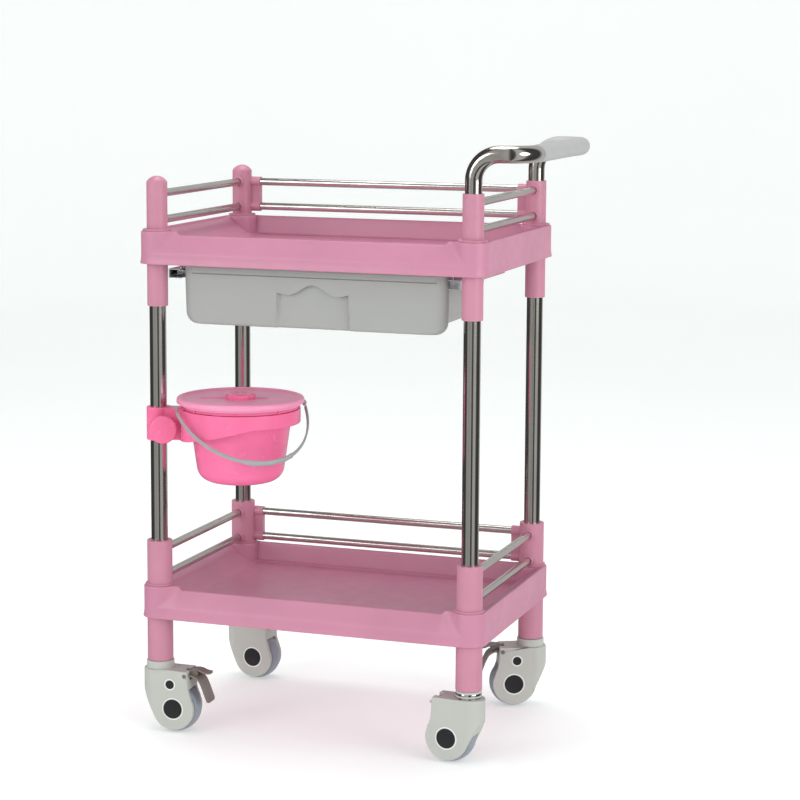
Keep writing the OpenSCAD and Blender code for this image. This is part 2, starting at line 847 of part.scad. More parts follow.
module axle_front_left() axle(-1, -1, trail_front_left);
module axle_front_right() axle(1, -1, trail_front_right);
module axle_rear_left() axle(-1, 1, trail_rear_left);
module axle_rear_right() axle(1, 1, trail_rear_right);

// The brake pedal: a pin across the housing, an arm and a foot pad that hangs down behind
module brake_pedal(side, depth, angle) {
    px = pedal_pivot[0];
    pz = pedal_pivot[1];
    color(dark) cart()
        at_caster(side, depth, angle)
            union() {
                wheel_plate(housing_w) translate(pedal_pivot) circle(pedal_pin_r);
                wheel_plate(15)
                    polygon([[px - 3, pz - 3], [px - 2, pz + 4], [px + 8, pz + 3], [px + 29.5, pz - 2],
                             [px + 35.5, pz - 39], [px + 31.5, pz - 40], [px + 25.5, pz - 8]]);
                wheel_plate(30)
                    polygon([[px + 25.5, pz - 8], [px + 29.5, pz - 2], [px + 35.5, pz - 39], [px + 31.5, pz - 40]]);
            }
}

module brake_pedal_front_left() brake_pedal(-1, -1, trail_front_left);
module brake_pedal_rear_right() brake_pedal(1, 1, trail_rear_right);

top_tray();
bottom_tray();
post_front_left();
post_front_right();
post_rear_left();
post_rear_right();
top_sleeve_front_left();
top_sleeve_front_right();
top_sleeve_rear_left();
top_sleeve_rear_right();
low_sleeve_front_left();
low_sleeve_front_right();
low_sleeve_rear_left();
low_sleeve_rear_right();
under_tray_sleeves();
leg_sleeves();
dome_caps();
top_rails_left();
top_rails_rear();
top_rails_right();
low_rails_left();
low_rails_rear();
low_rails_right();
handle_tube();
handle_grip();
drawer();
drawer_channel_left();
drawer_channel_right();
drawer_runners();
channel_screws();
pail_holder();
clamp_screw();
clamp_knob();
pail();
pail_lid();
bail();
bail_grip();
caster_stems();
housing_front_left();
housing_front_right();
housing_rear_left();
housing_rear_right();
tyre_front_left();
tyre_front_right();
tyre_rear_left();
tyre_rear_right();
hub_front_left();
hub_front_right();
hub_rear_left();
hub_rear_right();
axle_front_left();
axle_front_right();
axle_rear_left();
axle_rear_right();
brake_pedal_front_left();
brake_pedal_rear_right();
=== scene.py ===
"""Looks of the two-tier treatment trolley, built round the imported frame. Mesh sizes are in
millimetres until a piece is made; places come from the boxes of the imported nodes."""
import json
import math

import bmesh
import bpy
from mathutils import Matrix, Vector

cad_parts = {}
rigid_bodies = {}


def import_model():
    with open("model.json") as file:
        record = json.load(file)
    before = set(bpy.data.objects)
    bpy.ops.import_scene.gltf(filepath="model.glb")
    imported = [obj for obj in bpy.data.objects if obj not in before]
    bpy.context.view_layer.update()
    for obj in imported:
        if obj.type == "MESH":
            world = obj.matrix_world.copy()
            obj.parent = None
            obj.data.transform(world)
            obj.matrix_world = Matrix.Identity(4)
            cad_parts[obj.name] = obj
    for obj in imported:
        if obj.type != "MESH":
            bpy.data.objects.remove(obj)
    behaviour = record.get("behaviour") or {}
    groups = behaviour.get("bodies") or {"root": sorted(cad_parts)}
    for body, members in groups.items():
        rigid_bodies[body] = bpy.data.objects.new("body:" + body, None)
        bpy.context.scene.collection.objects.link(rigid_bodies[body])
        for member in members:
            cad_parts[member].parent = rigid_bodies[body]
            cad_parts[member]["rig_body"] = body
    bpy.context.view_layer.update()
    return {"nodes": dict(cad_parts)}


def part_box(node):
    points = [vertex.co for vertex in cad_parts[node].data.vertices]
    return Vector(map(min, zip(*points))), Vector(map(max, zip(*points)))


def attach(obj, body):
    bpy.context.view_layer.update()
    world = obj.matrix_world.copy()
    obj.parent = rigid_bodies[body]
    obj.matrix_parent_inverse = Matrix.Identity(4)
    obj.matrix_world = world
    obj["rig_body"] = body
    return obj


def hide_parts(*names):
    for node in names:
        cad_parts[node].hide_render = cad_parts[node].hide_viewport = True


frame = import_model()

MM = 0.001


# ---- Places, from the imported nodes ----

def low_mm(node):
    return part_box(node)[0] / MM


def high_mm(node):
    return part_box(node)[1] / MM


def centre_mm(node):
    return (low_mm(node) + high_mm(node)) / 2


CORNERS = ("front_left", "front_right", "rear_left", "rear_right")
POSTS = {corner: centre_mm("post_" + corner).xy for corner in CORNERS}
CART = centre_mm("top_tray").xy
POST_X = (POSTS["front_right"].x - POSTS["front_left"].x) / 2
POST_Y = (POSTS["rear_left"].y - POSTS["front_left"].y) / 2
BOSS_R = 24
TRAY_H = 48.5
RIM_H = 43
BAND_H = 17
RIM_SETBACK = 15
FLOOR_H = 16.5
FLOOR_X = 220
FLOOR_Y = 160
END_SLOPE = 42
SIDE_SLOPE = 6


def on_cart(points, z):
    """Points round the cart's middle, moved into the frame."""
    return [(x + CART.x, y + CART.y, h + z) for x, y, h in points]


# ---- Mesh helpers ----

ON_AXIS = 1e-4              # a smaller radius is a point on the axis
MERGE = 1e-6                # points of a new piece this near each other become one, in metres
CAD_MERGE = 1e-5            # the same for a CAD node's points
SHARP = 38                  # an edge with a wider bend than these degrees stays sharp
ROUNDED = 30                # and one of a CAD node wider than these is rounded off


def smoothstep(t):
    t = min(1, max(0, t))
    return t * t * (3 - 2 * t)


def mix(a, b, t):
    return a + (b - a) * t


def loft(loops):
    """Vertices and faces of a skin over closed loops with the same number of points, and its two caps."""
    count = len(loops[0])
    verts = [p for loop in loops for p in loop]
    faces = []
    for i in range(len(loops) - 1):
        for k in range(count):
            a = i * count + k
            b = i * count + (k + 1) % count
            faces.append((a, b, b + count, a + count))
    faces.append(tuple(range(count))[::-1])
    last = (len(loops) - 1) * count
    faces.append(tuple(last + k for k in range(count)))
    return verts, faces


def lathe(profile, segments):
    """Vertices and faces of a profile of (radius, height) turned round the Z axis."""
    verts = []
    rings = []
    for radius, height in profile:
        if radius < ON_AXIS:
            rings.append([len(verts)] * segments)
            verts.append((0, 0, height))
            continue
        rings.append(list(range(len(verts), len(verts) + segments)))
        for k in range(segments):
            angle = 2 * math.pi * k / segments
            verts.append((radius * math.cos(angle), radius * math.sin(angle), height))
    faces = []
    for low, high in zip(rings, rings[1:]):
        for k in range(segments):
            n = (k + 1) % segments
            corner = dict.fromkeys((low[k], low[n], high[n], high[k]))
            if len(corner) > 2:
                faces.append(tuple(corner))
    return verts, faces


def closed(profile, segments):
    """A lathe whose profile runs back to its first point."""
    return lathe(profile + profile[:1], segments)


def joined(*parts):
    verts = []
    faces = []
    for part_verts, part_faces in parts:
        shift = len(verts)
        verts += part_verts
        faces += [tuple(i + shift for i in face) for face in part_faces]
    return verts, faces


def placed(part, matrix):
    verts, faces = part
    return [tuple(matrix @ Vector(v)) for v in verts], faces


def add_piece(name, part, material, body, replaces=(), sharp=SHARP):
    verts, faces = part
    mesh = bpy.data.meshes.new(name)
    mesh.from_pydata([Vector(v) * MM for v in verts], [], faces)
    bm = bmesh.new()
    bm.from_mesh(mesh)
    bmesh.ops.remove_doubles(bm, verts=bm.verts, dist=MERGE)
    bmesh.ops.dissolve_degenerate(bm, dist=MERGE, edges=bm.edges)
    bmesh.ops.recalc_face_normals(bm, faces=bm.faces)
    bm.to_mesh(mesh)
    bm.free()
    return finish_piece(name, mesh, material, body, replaces, sharp)


def finish_piece(name, mesh, material, body, replaces, sharp):
    mesh.shade_smooth()
    mesh.set_sharp_from_angle(angle=math.radians(sharp))
    mesh.materials.clear()
    mesh.materials.append(material)
    piece = bpy.data.objects.new(name, mesh)
    bpy.context.scene.collection.objects.link(piece)
    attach(piece, body)
    if replaces:
        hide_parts(*replaces)
    return piece


def softened(node, name, material, width, steps=2, merge_flat=True):
    """The shape of a CAD node with its sharp edges rounded off."""
    source = frame["nodes"][node]
    bm = bmesh.new()
    bm.from_mesh(source.data)
    bmesh.ops.remove_doubles(bm, verts=bm.verts, dist=CAD_MERGE)
    if merge_flat:
        bmesh.ops.dissolve_limit(bm, angle_limit=math.radians(1), verts=bm.verts, edges=bm.edges)
    if width:
        edges = [e for e in bm.edges
                 if len(e.link_faces) == 2 and e.calc_face_angle() > math.radians(ROUNDED)]
        bmesh.ops.bevel(bm, geom=edges, offset=width * MM, offset_type="OFFSET", segments=steps,
                        profile=0.5, affect="EDGES", clamp_overlap=False)
    bmesh.ops.recalc_face_normals(bm, faces=bm.faces)
    mesh = bpy.data.meshes.new(name)
    bm.to_mesh(mesh)
    bm.free()
    piece = finish_piece(name, mesh, material, source["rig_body"], (node,), SHARP)
    even = piece.modifiers.new("Even", "WEIGHTED_NORMAL")
    even.keep_sharp = True
    return piece


# ---- Materials ----

PLASTIC_IOR = 1.49
STREAK_SCALE = 700          # lines per metre across a metal's brushing, before its stretch
STREAK_DEPTH = 0.000004


def linear(red, green, blue):
    """A colour given as 0 to 255 display values, as the linear values that sockets take."""
    def channel(value):
        value /= 255
        return value / 12.92 if value <= 0.04045 else ((value + 0.055) / 1.055) ** 2.4
    return (channel(red), channel(green), channel(blue), 1)


def new_material(name):
    material = bpy.data.materials.new(name)
    material.use_nodes = True
    tree = material.node_tree
    return material, tree, tree.nodes["Principled BSDF"]


def noise_of(tree, scale, detail, stretch=(1, 1, 1)):
    """A noise in the object's own space. Scale is per metre."""
    place = tree.nodes.new("ShaderNodeTexCoord")
    mapping = tree.nodes.new("ShaderNodeMapping")
    mapping.inputs["Scale"].default_value = stretch
    noise = tree.nodes.new("ShaderNodeTexNoise")
    noise.inputs["Scale"].default_value = scale
    noise.inputs["Detail"].default_value = detail
    tree.links.new(place.outputs["Object"], mapping.inputs["Vector"])
    tree.links.new(mapping.outputs["Vector"], noise.inputs["Vector"])
    return noise.outputs["Fac"]


def between(tree, factor, low, high):
    """A factor of about 0.3 to 0.7, as noise gives, spread from low to high."""
    spread = tree.nodes.new("ShaderNodeMapRange")
    spread.inputs["From Min"].default_value = 0.3
    spread.inputs["From Max"].default_value = 0.7
    spread.inputs["To Min"].default_value = low
    spread.inputs["To Max"].default_value = high
    tree.links.new(factor, spread.inputs["Value"])
    return spread.outputs["Result"]


def tinted(tree, factor, low, high):
    """A colour that goes from low to high with the factor."""
    blend = tree.nodes.new("ShaderNodeMix")
    blend.data_type = "RGBA"
    blend.inputs["A"].default_value = low
    blend.inputs["B"].default_value = high
    tree.links.new(between(tree, factor, 0, 1), blend.inputs["Factor"])
    return blend.outputs["Result"]


def shaded(colour, amount):
    return tuple(c * amount for c in colour[:3]) + (1,)


def bump_to(tree, shader, height, distance):
    bump = tree.nodes.new("ShaderNodeBump")
    bump.inputs["Strength"].default_value = 1
    bump.inputs["Distance"].default_value = distance
    tree.links.new(height, bump.inputs["Height"])
    tree.links.new(bump.outputs["Normal"], shader.inputs["Normal"])


def plastic(name, colour, roughness, grain=900, grain_depth=0.00002, mottle=0.05, glow=0):
    """Moulded plastic: a faint cloudy colour, a fine grain and a slightly uneven gloss."""
    material, tree, shader = new_material(name)
    cloud = noise_of(tree, 9, 4)
    colour_out = tinted(tree, cloud, shaded(colour, 1 - mottle), shaded(colour, 1 + mottle))
    tree.links.new(colour_out, shader.inputs["Base Color"])
    grain_out = noise_of(tree, grain, 2)
    rough_out = between(tree, noise_of(tree, 60, 5), roughness - 0.05, roughness + 0.05)
    tree.links.new(rough_out, shader.inputs["Roughness"])
    bump_to(tree, shader, grain_out, grain_depth)
    shader.inputs["IOR"].default_value = PLASTIC_IOR
    if glow:
        shader.inputs["Subsurface Weight"].default_value = glow
        shader.inputs["Subsurface Radius"].default_value = (1, 0.35, 0.5)
        shader.inputs["Subsurface Scale"].default_value = 0.004
    return material


def metal(name, colour, roughness, stretch):
    """Metal with fine lines along one direction, set by the stretch."""
    material, tree, shader = new_material(name)
    streaks = noise_of(tree, STREAK_SCALE, 3, stretch)
    cloud = noise_of(tree, 14, 4)
    tree.links.new(tinted(tree, cloud, shaded(colour, 0.94), shaded(colour, 1.04)),
                   shader.inputs["Base Color"])
    tree.links.new(between(tree, streaks, roughness * 0.8, roughness * 1.35), shader.inputs["Roughness"])
    bump_to(tree, shader, streaks, STREAK_DEPTH)
    shader.inputs["Metallic"].default_value = 1
    return material


TRAY_PLASTIC = plastic("tray_pink", linear(197, 132, 157), 0.36, glow=0.12)
SLEEVE_PLASTIC = plastic("sleeve_pink", linear(198, 134, 156), 0.34, glow=0.12)
PAIL_PLASTIC = plastic("pail_pink", linear(243, 116, 162), 0.24, grain_depth=0.00001, glow=0.25)
# The lid's pink is lighter and greyer than the pail's: painted sheen on its top, standing in for the pale
# sky it reflects and the light it lacks from above.
LID_SHEEN_PLASTIC = plastic("lid_pink_painted_sheen", linear(243, 152, 188), 0.34, grain_depth=0.00001, glow=0.15)
DRAWER_PLASTIC = plastic("drawer_grey", linear(163, 163, 161), 0.42, mottle=0.03)
GRIP_PLASTIC = plastic("grip_grey", linear(176, 178, 177), 0.45, grain=1400, mottle=0.03)
BAIL_PLASTIC = plastic("bail_grey", linear(160, 164, 164), 0.35, mottle=0.03)
HOUSING_PLASTIC = plastic("housing_grey", linear(186, 187, 181), 0.4, mottle=0.03)
RIM_PLASTIC = plastic("rim_white", linear(232, 232, 228), 0.3)
HUB_PLASTIC = plastic("hub_grey", linear(160, 162, 158), 0.45)
TYRE_RUBBER = plastic("tyre_grey", linear(146, 152, 162), 0.4, grain=1600, grain_depth=0.00003)
PLUG_PLASTIC = plastic("plug_black", linear(34, 34, 38), 0.5, grain=1500, grain_depth=0.00004)
# The uprights take a darker copy of the polished steel than the rods and handle: painted shade, standing in
# for the darker reflections on the uprights.
SHADED_POST_STEEL = metal("polished_steel_upright_painted_shade", (0.58, 0.56, 0.52), 0.14, (1, 1, 0.02))
ROD_STEEL = metal("polished_steel_rods", (0.66, 0.64, 0.6), 0.16, (0.05, 0.05, 1))
TUBE_STEEL = metal("polished_steel_handle", (0.66, 0.63, 0.58), 0.13, (0.3, 0.3, 0.3))
ZINC_STEEL = metal("zinc_steel", (0.78, 0.78, 0.8), 0.2, (1, 0.05, 1))
PEDAL_METAL = plastic("pedal_paint", linear(122, 113, 107), 0.38, grain=1200, grain_depth=0.00004)
CHROME = metal("chrome_ring", (0.75, 0.75, 0.76), 0.08, (1, 1, 0.1))


# ---- Trays ----

FRONT_STEPS = [i / 7 * 0.82 for i in range(7)] + [0.82 + 0.18 * i / 23 for i in range(24)]
BOSS_STEPS = 18
END_STEPS = [(i / 8) ** 1.6 for i in range(1, 9)]
SCOOP_R = 24
FLOOR_CORNER = 9            # corner radius of the floor
RAMP_FROM = 41
RAMP_TO = 33


def mirrored_ring(quarter, front_z, boss_z):
    """A whole ring from its stretch between the middle of the front and of the right end. The rear
    rim is as high as the bosses, so there the heights of the front stretch are raised to boss_z."""
    rear = [(x, -y, boss_z if front_z != boss_z and z != boss_z and -y > FLOOR_Y - 8 else z)
            for x, y, z in quarter[-2::-1]]
    right = quarter + rear
    left = [(-x, y, z) for x, y, z in right[-2:0:-1]]
    return right + left


def outer_ring(front_inset, boss_inset, front_z, boss_z):
    """A ring on the outside of a tray. The front slope runs into the boss in a hollow arc."""
    radius = BOSS_R - boss_inset
    line = BOSS_R - front_inset
    depth = max(0, radius - line)
    reach = math.sqrt(depth * (2 * radius + 2 * SCOOP_R - depth))
    start = POST_X - reach
    share = radius / (radius + SCOOP_R)
    end_x = POST_X - reach * share
    front_y = -POST_Y - line
    points = []
    for step in FRONT_STEPS:
        x = end_x * step
        y = front_y
        if x > start:
            y -= SCOOP_R - math.sqrt(max(0, SCOOP_R ** 2 - (x - start) ** 2))
        ramp = smoothstep((x - POST_X + RAMP_FROM) / (RAMP_FROM - RAMP_TO))
        points.append((x, y, mix(front_z, boss_z, ramp)))
    first = math.atan2(-(line + SCOOP_R), -reach)
    for k in range(1, BOSS_STEPS + 1):
        angle = first * (1 - k / BOSS_STEPS)
        points.append((POST_X + radius * math.cos(angle), -POST_Y + radius * math.sin(angle), boss_z))
    for step in END_STEPS:
        points.append((POST_X + radius, -POST_Y * (1 - step), boss_z))
    return mirrored_ring(points, front_z, boss_z)


def inner_ring(front_y, end_x, radius, front_z, boss_z, end_z=None):
    """A ring on the inside of a tray, which runs round the inner side of each boss."""
    end_z = boss_z if end_z is None else end_z
    beside = front_y - POST_Y
    behind = POST_X - end_x
    x_meet = POST_X - math.sqrt(radius ** 2 - beside ** 2)
    blocked = abs(behind) < radius and -POST_Y + math.sqrt(radius ** 2 - behind ** 2) > -front_y
    points = []
    if not blocked:
        x_meet = end_x - FLOOR_CORNER
    for step in FRONT_STEPS:
        x = x_meet * step
        ramp = smoothstep((x - POST_X + RAMP_FROM) / (RAMP_FROM - RAMP_TO))
        points.append((x, -front_y, mix(front_z, boss_z, ramp)))
    if blocked:
        first = math.pi + math.asin(beside / radius)
        last = math.atan2(math.sqrt(radius ** 2 - behind ** 2), -behind)
        centre = (POST_X, -POST_Y)
    else:
        first = -math.pi / 2
        last = 0
        radius = FLOOR_CORNER
        centre = (end_x - FLOOR_CORNER, -front_y + FLOOR_CORNER)
    for k in range(1, BOSS_STEPS + 1):
        angle = mix(first, last, k / BOSS_STEPS)
        points.append((centre[0] + radius * math.cos(angle), centre[1] + radius * math.sin(angle),
                       boss_z))
    y_meet = points[-1][1]
    for step in END_STEPS:
        y = y_meet * (1 - step)
        points.append((end_x, y, mix(boss_z, end_z, smoothstep(abs(y - y_meet) / 14))))
    return mirrored_ring(points, front_z, boss_z)


def tray_part():
    """Rings from the roof below the floor, down inside the skirt, up outside, over the rim and in."""
    rings = []
    for inset, z in ((3.4, 13.5), (3, 12.6), (2.0, 1.2), (1.4, 0.3), (0.6, 0), (-0.9, 0), (-1.35, 0.3),
                     (-1.5, 0.9), (-1.2, 2.5), (-0.8, 4.5), (-0.4, 7), (-0.1, 10), (0, 12.5), (0, 15.2)):
        rings.append(outer_ring(inset, inset, z, z))
    slope = [(0.12, 16.4), (0.45, 17.4), (1.1, 18.6)]
    for g in (0.12, 0.2, 0.3, 0.4, 0.5, 0.6, 0.7, 0.8, 0.88, 0.94):
        slope.append((RIM_SETBACK * g, BAND_H + (RIM_H - BAND_H) * g))
    for inset, z in slope:
        rise = (z - BAND_H) / (RIM_H - BAND_H)
        boss_z = z if rise < 0 else BAND_H + (TRAY_H - 1.6 - BAND_H) * rise
        rings.append(outer_ring(inset, 0, z, boss_z))
    top = TRAY_H
    rings.append(outer_ring(14.4, 0.1, 42.0, top - 1.0))
    rings.append(outer_ring(14.8, 0.5, 42.6, top - 0.35))
    rings.append(outer_ring(15.5, 1.2, 42.95, top - 0.03))
    rings.append(outer_ring(16.3, 2.2, 43.0, top))
    rings.append(inner_ring(167.6, FLOOR_X + END_SLOPE + 3.6, 21.5, 43.0, top))
    rings.append(inner_ring(167.2, FLOOR_X + END_SLOPE + 2.9, 22.2, 43.0, top, top - 0.5))
    rings.append(inner_ring(166.9, FLOOR_X + END_SLOPE + 2.2, 22.9, 42.9, top - 0.03, top - 3.4))
    rings.append(inner_ring(166.5, FLOOR_X + END_SLOPE + 0.6, 23.5, 42.6, top - 0.35, top - 4.2))
    rings.append(inner_ring(166.1, FLOOR_X + END_SLOPE - 2.4, 23.9, 41.9, top - 1.1, top - 4.3))
    for t in (0.86, 0.7, 0.55, 0.4, 0.28, 0.18, 0.11):
        rings.append(inner_ring(FLOOR_Y + SIDE_SLOPE * t, FLOOR_X + END_SLOPE * t, BOSS_R,
                                FLOOR_H + (RIM_H - FLOOR_H) * t, FLOOR_H + (TRAY_H - FLOOR_H) * t))
    for inset, rise in ((-1.2, 2.2), (0.2, 1.2), (1.8, 0.5), (3.8, 0.1), (6, 0)):
        z = FLOOR_H + rise
        rings.append(inner_ring(FLOOR_Y - inset, FLOOR_X - inset, BOSS_R, z, z))
    return loft(rings)


def make_trays():
    verts, faces = tray_part()
    for level, node in (("upper", "top_tray"), ("lower", "bottom_tray")):
        base = high_mm(node).z - TRAY_H
        add_piece("tray_" + level, (on_cart(verts, base), faces), TRAY_PLASTIC, "frame",
                  (node,), 50)


make_trays()


# ---- Sleeves, caps, posts and rods ----

def make_sleeves():
    for corner in CORNERS:
        for level in ("top", "low"):
            node = "%s_sleeve_%s" % (level, corner)
            softened(node, "guard_%s_%s" % (level, corner), SLEEVE_PLASTIC, 0.5)
    softened("under_tray_sleeves", "spacer_sleeves", SLEEVE_PLASTIC, 0.4)
    softened("leg_sleeves", "foot_sleeves", SLEEVE_PLASTIC, 0.5)
    softened("dome_caps", "sleeve_caps", SLEEVE_PLASTIC, 0)


def make_steel():
    for corner in CORNERS:
        softened("post_" + corner, "upright_" + corner, SHADED_POST_STEEL, 0.25)
    for level in ("top", "low"):
        for side in ("left", "rear", "right"):
            node = "%s_rails_%s" % (level, side)
            softened(node, "rods_%s_%s" % (level, side), ROD_STEEL, 0)
    softened("handle_tube", "handle_bar", TUBE_STEEL, 0)


def swept(path, up, sections):
    """A closed skin along a path. Each point has its own section of (sideways, up) offsets."""
    loops = []
    for i, point in enumerate(path):
        ahead = (path[min(i + 1, len(path) - 1)] - path[max(i - 1, 0)]).normalized()
        side = ahead.cross(up).normalized()
        over = side.cross(ahead)
        loops.append([tuple(point + side * a + over * b) for a, b in sections[i]])
    return loft(loops)


def oval(half_w, half_h, count=28):
    return [(half_w * math.cos(2 * math.pi * k / count), half_h * math.sin(2 * math.pi * k / count))
            for k in range(count)]


BEND_R = 38


def make_grip():
    """The grip covers the push bar, the bend at its rear end and the start of the next bend."""
    low, high = low_mm("handle_grip"), high_mm("handle_grip")
    middle = (low + high) / 2
    reach = POST_Y - BEND_R
    path = []
    for i in range(25):
        path.append(Vector((middle.x, CART.y + mix(-112, reach, i / 24), middle.z)))
    for k in range(1, 13):
        angle = math.radians(90) * k / 12
        path.append(Vector((middle.x - BEND_R + BEND_R * math.cos(angle),
                            CART.y + reach + BEND_R * math.sin(angle), middle.z)))
    last = path[-1]
    for k in range(1, 9):
        angle = math.radians(52) * k / 8
        path.append(Vector((last.x - 3 - BEND_R * math.sin(angle), last.y,
                            last.z - BEND_R * (1 - math.cos(angle)))))
    count = len(path)
    sections = []
    for i in range(count):
        from_end = min(i / 2.2, (count - 1 - i) / 2.2, 1)
        size = 12.7 + 0.8 * math.sqrt(max(0, 1 - (1 - from_end) ** 2))
        swell = 0.5 * math.exp(-((i - 24) / 4) ** 2)
        sections.append(oval(size, size - 0.5 + swell))
    verts, faces = swept(path, Vector((0, 0, 1)), sections)
    start = path[0].y
    shifted = []
    for x, y, z in verts:
        lean = max(0, 1 - (y - start) / 24)
        round_end = 0.55 * (z - middle.z) + 4 * math.cos((x - middle.x) / 9)
        shifted.append((x, y - lean * round_end, z))
    add_piece("handle_cover", (shifted, faces), GRIP_PLASTIC, "frame",
              ("handle_grip",), 45)


make_sleeves()
make_steel()
make_grip()


# ---- Drawer ----

DRAWER_HALF = 207
DRAWER_H = 87
FRONT_THICK = 16
FRONT_CORNER = 15
BOTTOM_CORNER = 18
LIP_H = 10.5
LIP_DEPTH = 2.6
BOTTOM_EDGE_R = 5
PULL_Z = 49.5               # height of the two dips of the pull's edge
PULL_HALF = 56
BEND_LOW = 8                # between these heights the front's rows of points bend
BEND_HIGH = 74              # with the pull's edge


def pull_edge(x):
    """Height of the pull's wavy upper edge: a crest in the middle and a dip on either side."""
    away = abs(x)
    if away <= 39:
        return PULL_Z + 7.75 * (1 + math.cos(math.pi * away / 39))
    tip = 3.5 * min(1, (away - 39) / 17) ** 2
    return PULL_Z + tip * (1 - smoothstep((away - PULL_HALF) / 12))


def pull_depth(x, z):
    edge = pull_edge(x)
    if z > edge - 0.3:
        return 0
    lean = 1.5 * (1 - z / edge)
    return (7.5 - 2 * lean) * (1 - smoothstep((abs(x) - 52 - 2 * lean) / 4))


def front_inset(x, z):
    """How far the drawer's face stands behind its foremost plane."""
    inset = LIP_DEPTH
    if z < BOTTOM_EDGE_R:
        inset += BOTTOM_EDGE_R - math.sqrt(BOTTOM_EDGE_R ** 2 - (BOTTOM_EDGE_R - z) ** 2)
    lip_end = DRAWER_HALF - 9 - abs(x) - (DRAWER_H - z) * 0.6
    lip_fade = smoothstep(lip_end / 1.6)
    lip = smoothstep((z - (DRAWER_H - LIP_H)) / 0.5) * lip_fade
    top_round = max(0, z - (DRAWER_H - 1.5))
    below = DRAWER_H - LIP_H - z
    groove = 1.4 * smoothstep(below / 0.2) * (1 - smoothstep((below - 1) / 0.4)) * lip_fade
    return inset + groove - LIP_DEPTH * lip + 0.5 * top_round ** 2 + pull_depth(x, z)


def front_loop(z):
    corner_cut = 0
    if z < BOTTOM_CORNER:
        corner_cut = BOTTOM_CORNER - math.sqrt(BOTTOM_CORNER ** 2 - (BOTTOM_CORNER - z) ** 2)
    half = DRAWER_HALF - 2.5 * (1 - z / DRAWER_H) - corner_cut
    flat = half - FRONT_CORNER
    bend = max(0, min((z - BEND_LOW) / (PULL_Z - 0.8 - BEND_LOW),
                      (BEND_HIGH - z) / (BEND_HIGH - PULL_Z), 1))
    points = []
    for k in range(7):
        angle = math.radians(15 * k)
        points.append((half - FRONT_CORNER * (1 - math.cos(angle)), -FRONT_CORNER * math.sin(angle)))
    count = 168
    points += [(flat * (1 - 2 * k / count), -FRONT_CORNER) for k in range(1, count)]
    points += [(-x, y) for x, y in points[6::-1]]
    back = FRONT_THICK - FRONT_CORNER - 0.3
    loop = [(half, back, z)]
    for x, y in points:
        height = z + (pull_edge(x) - PULL_Z) * bend
        share = -y / FRONT_CORNER
        loop.append((x, y + front_inset(x, height) * share, height))
    loop.append((-half, back, z))
    return [(x, y + FRONT_CORNER, h) for x, y, h in loop]


def rounded_ring(half_x, near, far, radius, z, steps=6):
    """A rectangle with round corners, from -half_x to half_x and from near to far."""
    loop = []
    corners = ((half_x - radius, far - radius, 0), (-half_x + radius, far - radius, 90),
               (-half_x + radius, near + radius, 180), (half_x - radius, near + radius, 270))
    for x, y, start in corners:
        for k in range(steps + 1):
            angle = math.radians(start + 90 * k / steps)
            loop.append((x + radius * math.cos(angle), y + radius * math.sin(angle), z))
    return loop


def tub_part(depth, height):
    """The drawer's open tub, as wide as its front part leaves room for."""
    half = 190
    near = FRONT_THICK - 2
    rings = []
    for inset, z in ((5, 0.3), (2.5, 0), (1.2, 0.6), (0.4, 2), (0, 4.5), (0, height - 3)):
        rings.append(rounded_ring(half - inset, near + inset, depth - inset, 14 - inset, z))
    for inset, z in ((0.2, height - 0.4), (0.9, height), (1.7, height), (2.4, height - 0.5),
                     (2.6, height - 4), (3.6, 9), (5, 4.6), (8, 2.8), (11, 2.5)):
        rings.append(rounded_ring(half - inset, near + inset, depth - inset, 14 - min(inset, 8), z))
    return loft(rings)


def channel_profile(side, inner):
    """Corners of the folded channel: open towards the drawer, from inner out to its outer wall."""
    wall, height, outer = 1.5, 14, 228
    corners = [(inner, 0), (outer, 0), (outer, height), (inner, height), (inner, height - wall),
               (outer - wall, height - wall), (outer - wall, wall), (inner, wall)]
    return [(side * x, z) for x, z in corners]


def channel_part(side, length):
    """The slide channel. Beside the drawer's front panel its lips are cut back to clear the panel."""
    stub = FRONT_THICK + 1.5
    channel = loft([[(x, y, z) for x, z in channel_profile(side, 199)] for y in (stub, length)])
    head = loft([[(x, y, z) for x, z in channel_profile(side, 209.5)] for y in (0.2, stub)])
    return joined(channel, head)


def make_drawer():
    low, high = low_mm("drawer"), high_mm("drawer")
    place = Matrix.Translation((CART.x, low.y, low.z))
    lip_z = DRAWER_H - LIP_H
    rows = [0, 0.35, 1.1, 2.2, 3.6, 5.5, 8, 11, 14.5, 18, 22, 27, 32, 37, 42, 46, PULL_Z - 0.9, PULL_Z,
            PULL_Z + 2, 55, 60, 66, 72, lip_z - 1.5, lip_z - 1, lip_z - 0.3, lip_z, lip_z + 0.25,
            lip_z + 0.5, DRAWER_H - 6, DRAWER_H - 3, DRAWER_H - 1.5, DRAWER_H - 0.7, DRAWER_H]
    front = loft([front_loop(z) for z in rows])
    add_piece("drawer_front", placed(front, place), DRAWER_PLASTIC, "drawer",
              ("drawer",), 32)
    tub = tub_part(high.y - low.y, DRAWER_H - 15)
    lifted = Matrix.Translation((CART.x, low.y, low.z + 11))
    add_piece("drawer_tub", placed(tub, lifted), DRAWER_PLASTIC, "drawer",
              ("drawer",), 40)
    for name, side in (("left", -1), ("right", 1)):
        node = "drawer_channel_" + name
        place = Matrix.Translation((CART.x, low_mm(node).y, low_mm(node).z))
        length = high_mm(node).y - low_mm(node).y
        add_piece("slide_channel_" + name, placed(channel_part(side, length), place), ZINC_STEEL, "frame",
                  (node,), 30)
    softened("drawer_runners", "slide_runners", ZINC_STEEL, 0.2)
    softened("channel_screws", "slide_screws", ZINC_STEEL, 0.2)


make_drawer()


# ---- Pail ----

